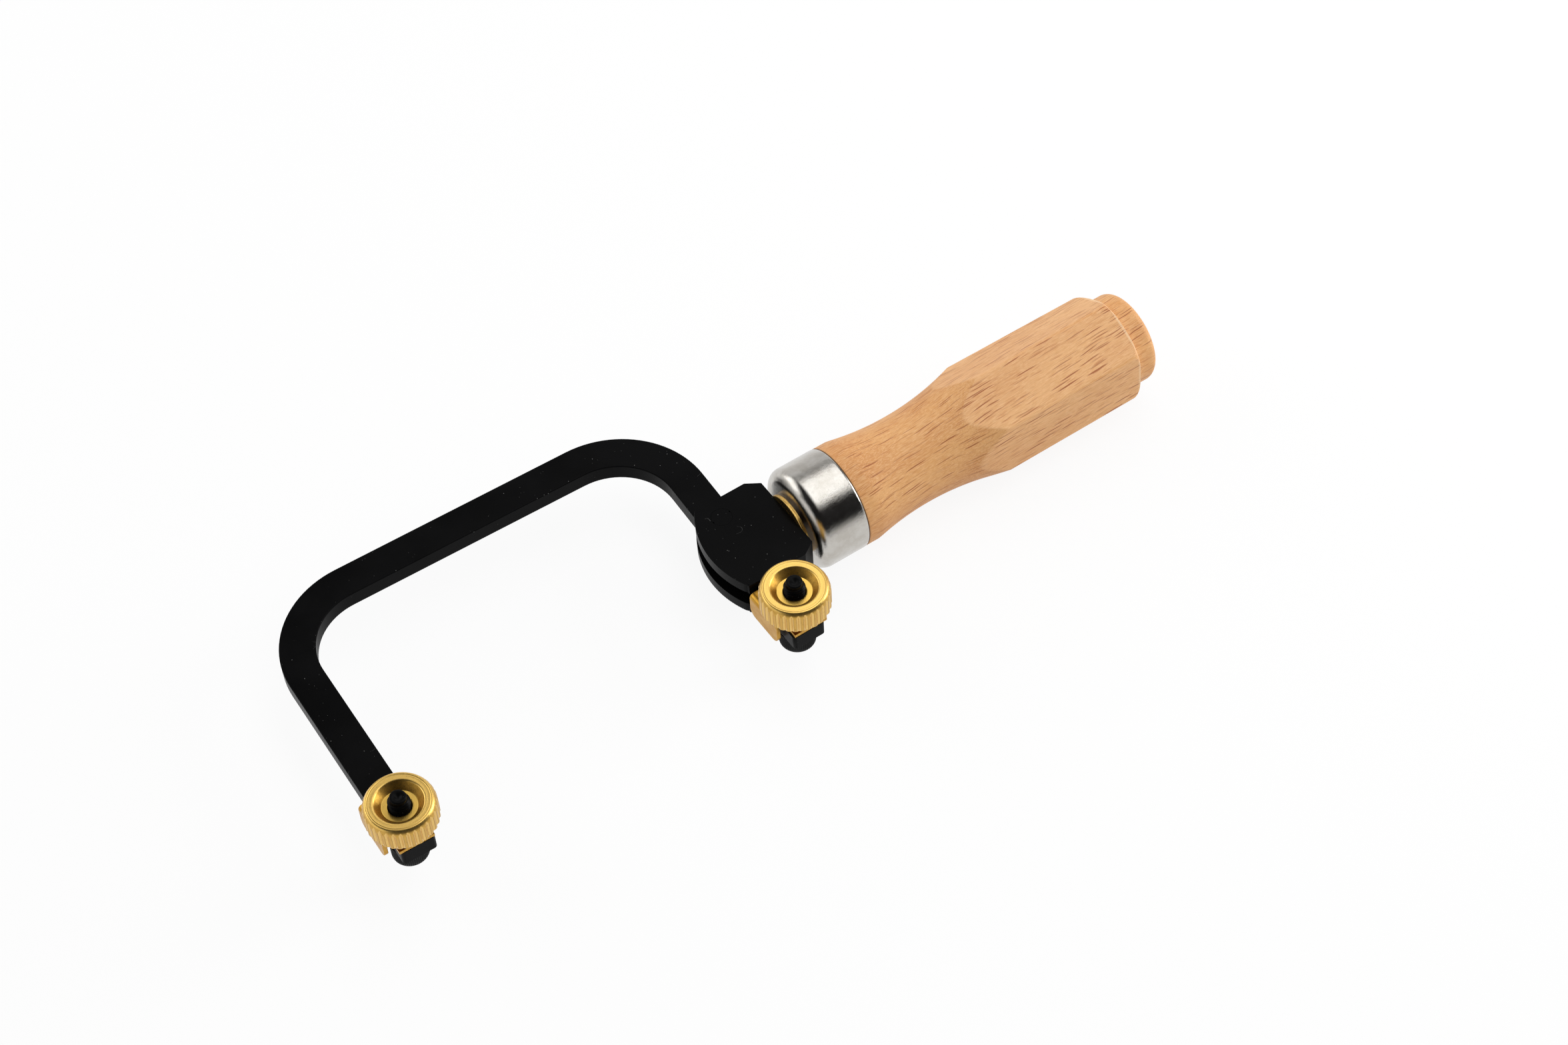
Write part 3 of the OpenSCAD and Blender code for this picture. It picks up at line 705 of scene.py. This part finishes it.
def grip():
    """The wood: turned hollow behind the ferrule, six planed flats, shoulder and round button."""
    waist_x, waist_r, hollow_r, hollow_reach = 22.9, 13.3, 88.0, 60.0
    button_len, button_r, button_edge = 7.4, 13.6, 2.5
    corner_r, corner_r_front, shoulder = 16.7, 17.13, 2.2
    spindle_r, spindle_len, bore_spare, nut_af, nut_len = 3.02, 62.0, 3.0, 10.0, 5.0
    cup_r, cup_edge, front_r = FERRULE_R - FERRULE_WALL, FERRULE_EDGE - FERRULE_WALL, FERRULE_R - 0.1
    hexagon = polygon_radius(6, GRIP_FLATS, GRIP_CORNER)
    pocket = polygon_radius(6, nut_af, math.radians(90))

    def outline(x):
        hollow = waist_r + hollow_r - math.sqrt(hollow_r ** 2 - min(abs(x - waist_x), hollow_reach) ** 2)
        if x < waist_x:
            return min(front_r, hollow)
        share = (x - waist_x) / (GRIP_LEN - shoulder - waist_x)
        return min(hollow, corner_r_front + (corner_r - corner_r_front) * min(1.0, share))

    def cut(limit):
        return lambda a: soft_min(hexagon(a), limit, 0.10)

    # The bore for spindle and anchor nut, then the front end inside the ferrule.
    bore_end, cup = spindle_len + bore_spare - FERRULE_LEN, FERRULE_WALL - FERRULE_LEN
    rows = [(bore_end, 0), (bore_end, spindle_r), (cup + nut_len, spindle_r), (cup + nut_len, pocket),
            (cup, pocket), (cup, 9.0)]
    rows += arc(cup + cup_edge, cup_r - cup_edge, cup_edge - 0.02, 180, 90, 6)
    rows += [(-0.02, cup_r - 0.02), (0.0, front_r - 0.25), (0.06, front_r - 0.10), (0.25, front_r)]

    # The hollow, the flats that run out in it, and the rest of the flats.
    x = 0.8
    while x < waist_x:
        rows.append((x, outline(x)))
        x += 1.2
    x = waist_x
    while x < waist_x + 32:
        rows.append((x, cut(outline(x))))
        x += 0.4
    while x < GRIP_LEN - shoulder - 0.5:
        rows.append((x, cut(outline(x))))
        x += 2.0
    rows += [(h, cut(r)) for h, r in arc(GRIP_LEN - shoulder, corner_r - shoulder, shoulder, 90, 0, 14)]
    rows += [(GRIP_LEN + 0.01, corner_r - shoulder - 0.25), (GRIP_LEN + 0.02, button_r + 0.22),
             (GRIP_LEN + 0.10, button_r + 0.07), (GRIP_LEN + 0.30, button_r), (GRIP_LEN + 2.5, button_r)]
    end = GRIP_LEN + button_len
    rows += arc(end - button_edge, button_r - button_edge, button_edge, 90, 0, 12)
    rows += [(end, 8.0), (end, 4.0), (end, 0)]
    piece = lathe("grip_planed", rows, even(360, GRIP_CORNER), place_x, (WOOD_X, AXIS.y, AXIS.z), sharp=38)
    dress(piece, "handle", BEECH, "handle")


bush()
ferrule()
grip()

# The photograph's camera: lens and sensor, its angles, and the front clamp as it sees it, in mm.
LENS, SENSOR = 73.567, 36.0
ELEVATION, YAW, ROLL = (math.radians(v) for v in (52.445, 31.097, -3.835))
CLAMP_RIGHT, CLAMP_DOWN, CLAMP_AHEAD = -101.938, 73.156, 822.789
CLAMP_TO_ORIGIN = Vector((121.6449, 35.3389, -16.9982))


def camera():
    """The photograph's camera, from its three angles and its distances to the front clamp."""
    sin, cos = math.sin(ELEVATION), math.cos(ELEVATION)
    right, down, ahead = Vector((1, 0, 0)), Vector((0, -sin, -cos)), Vector((0, cos, -sin))
    centre = Vector((-CLAMP_RIGHT, CLAMP_DOWN * sin - CLAMP_AHEAD * cos, CLAMP_DOWN * cos + CLAMP_AHEAD * sin))
    across = right * math.cos(ROLL) - down * math.sin(ROLL)
    down = right * math.sin(ROLL) + down * math.cos(ROLL)
    back = Matrix.Rotation(-YAW, 3, "Z")
    across, down, ahead, centre = (back @ v for v in (across, down, ahead, centre))
    turn = Matrix((across, -down, -ahead)).transposed()
    data = bpy.data.cameras.new("camera")
    data.lens, data.sensor_width = LENS, SENSOR
    data.clip_start, data.clip_end = 0.01, 50
    obj = bpy.data.objects.new("camera", data)
    obj.matrix_world = Matrix.Translation((centre - CLAMP_TO_ORIGIN) * MM) @ turn.to_4x4()
    bpy.context.scene.collection.objects.link(obj)
    bpy.context.scene.camera = obj


camera()

# Floor, backdrop and light, in metres. The floor and the room are white where a ray shows them.
ROOM_LIGHT = 0.38
FLOOR_SIZE, FLOOR_DROP, FLOOR_GREY, FLOOR_GLOW = 6.0, 0.0004, 0.93, 0.90
# Grey of the cards by their angle in degrees, from the back over the top to the front.
CARDS = ((0, 0.32), (28, 0.32), (33, 0.48), (40, 0.42), (50, 0.24), (57, 0.02), (180, 0.02))
TENT_RADIUS, TENT_HALF, TENT_STEPS = 1.6, 3.0, 60
SAW_MIDDLE = Vector((0.0, 0.0, 0.017))
# Softboxes: name, place, size, watts, and whether it lies level or points at the saw.
SOFTBOXES = (("softbox_above", (0.32, 0.074, 0.80), (0.56, 0.968), 3.3, True),
             ("softbox_left", (-0.75, 0.90, 0.60), (1.1, 0.8), 5.0, False),
             ("softbox_back", (0.30, 1.15, 0.35), (2.4, 0.7), 2.5, False),
             ("softbox_right", (1.20, -0.40, 0.50), (0.7, 0.7), 9.0, False))


def bare_tree(owner):
    """An empty node tree for a material or world."""
    owner.use_nodes = True
    owner.node_tree.nodes.clear()
    return owner.node_tree


def seen_white(tree, plain, white):
    """Mixes in plain white for rays that show the background."""
    path = add_node(tree, "LightPath")
    most = path.outputs["Is Camera Ray"]
    for name in ("Is Glossy Ray", "Is Transmission Ray"):
        most = add_node(tree, "Math", {"operation": "MAXIMUM"}, i0=most, i1=path.outputs[name]).outputs[0]
    return add_node(tree, "MixShader", i0=most, i1=plain, i2=white).outputs[0]


def floor():
    """A pale floor that keeps the saw's shadow and is close to white where it is seen."""
    bm = bmesh.new()
    bmesh.ops.create_grid(bm, x_segments=24, y_segments=24, size=FLOOR_SIZE)
    obj = finish_mesh("floor", bm, (0, 0, -FLOOR_DROP))
    mat = bpy.data.materials.new("floor")
    tree = bare_tree(mat)
    diffuse = add_node(tree, "BsdfDiffuse", Color=(FLOOR_GREY, FLOOR_GREY, FLOOR_GREY, 1)).outputs[0]
    glow = add_node(tree, "Emission", Color=(1, 1, 1, 1), Strength=1.0).outputs[0]
    part = add_node(tree, "MixShader", i0=FLOOR_GLOW, i1=diffuse, i2=glow).outputs[0]
    add_node(tree, "OutputMaterial", i0=seen_white(tree, diffuse, part))
    obj.data.materials.append(mat)


def world():
    """White where it is seen or mirrored, and an even pale grey as light."""
    room = bpy.data.worlds.new("room")
    bpy.context.scene.world = room
    tree = bare_tree(room)
    pale = add_node(tree, "Background", Color=(1, 1, 1, 1), Strength=ROOM_LIGHT).outputs[0]
    white = add_node(tree, "Background", Color=(1, 1, 1, 1), Strength=1.0).outputs[0]
    add_node(tree, "OutputWorld", i0=seen_white(tree, pale, white))


def tent():
    """Cards that only reflections show, bent about X over the table: grey at the back, black over the front."""
    bm = bmesh.new()
    rows = []
    for i in range(TENT_STEPS + 1):
        a = math.pi * i / TENT_STEPS
        y, z = TENT_RADIUS * math.cos(a), TENT_RADIUS * math.sin(a)
        rows.append([bm.verts.new((x, y, z)) for x in (-TENT_HALF, TENT_HALF)])
    for low, high in zip(rows, rows[1:]):
        bm.faces.new((low[0], low[1], high[1], high[0]))
    obj = finish_mesh("tent", bm)
    mat = bpy.data.materials.new("tent")
    tree = bare_tree(mat)
    split = add_node(tree, "SeparateXYZ", i0=add_node(tree, "TexCoord").outputs["Object"])
    angle = add_node(tree, "Math", {"operation": "ARCTAN2"}, i0=split.outputs[2], i1=split.outputs[1])
    share = add_node(tree, "Math", {"operation": "DIVIDE"}, i0=angle.outputs[0], i1=math.pi)
    cards = add_node(tree, "ValToRGB", i0=share.outputs[0])
    points = cards.color_ramp.elements
    while len(points) < len(CARDS):
        points.new(0.5)
    for point, (degrees, grey) in zip(points, CARDS):
        point.position = degrees / 180
        point.color = (grey, grey, grey, 1)
    glow = add_node(tree, "Emission", Color=cards.outputs[0])
    add_node(tree, "OutputMaterial", i0=glow.outputs[0])
    obj.data.materials.append(mat)
    obj.visible_camera = obj.visible_diffuse = obj.visible_shadow = False


def softbox(name, at, size, watts, level):
    """A rectangular area lamp."""
    light = bpy.data.lights.new(name, "AREA")
    light.shape = "RECTANGLE"
    light.size, light.size_y = size
    light.energy = watts
    obj = bpy.data.objects.new(name, light)
    obj.location = at
    obj.rotation_mode = "QUATERNION"
    if not level:
        obj.rotation_quaternion = (SAW_MIDDLE - Vector(at)).to_track_quat("-Z", "Y")
    bpy.context.scene.collection.objects.link(obj)


floor()
world()
tent()
for box in SOFTBOXES:
    softbox(*box)
bpy.context.scene.view_settings.view_transform = "Standard"
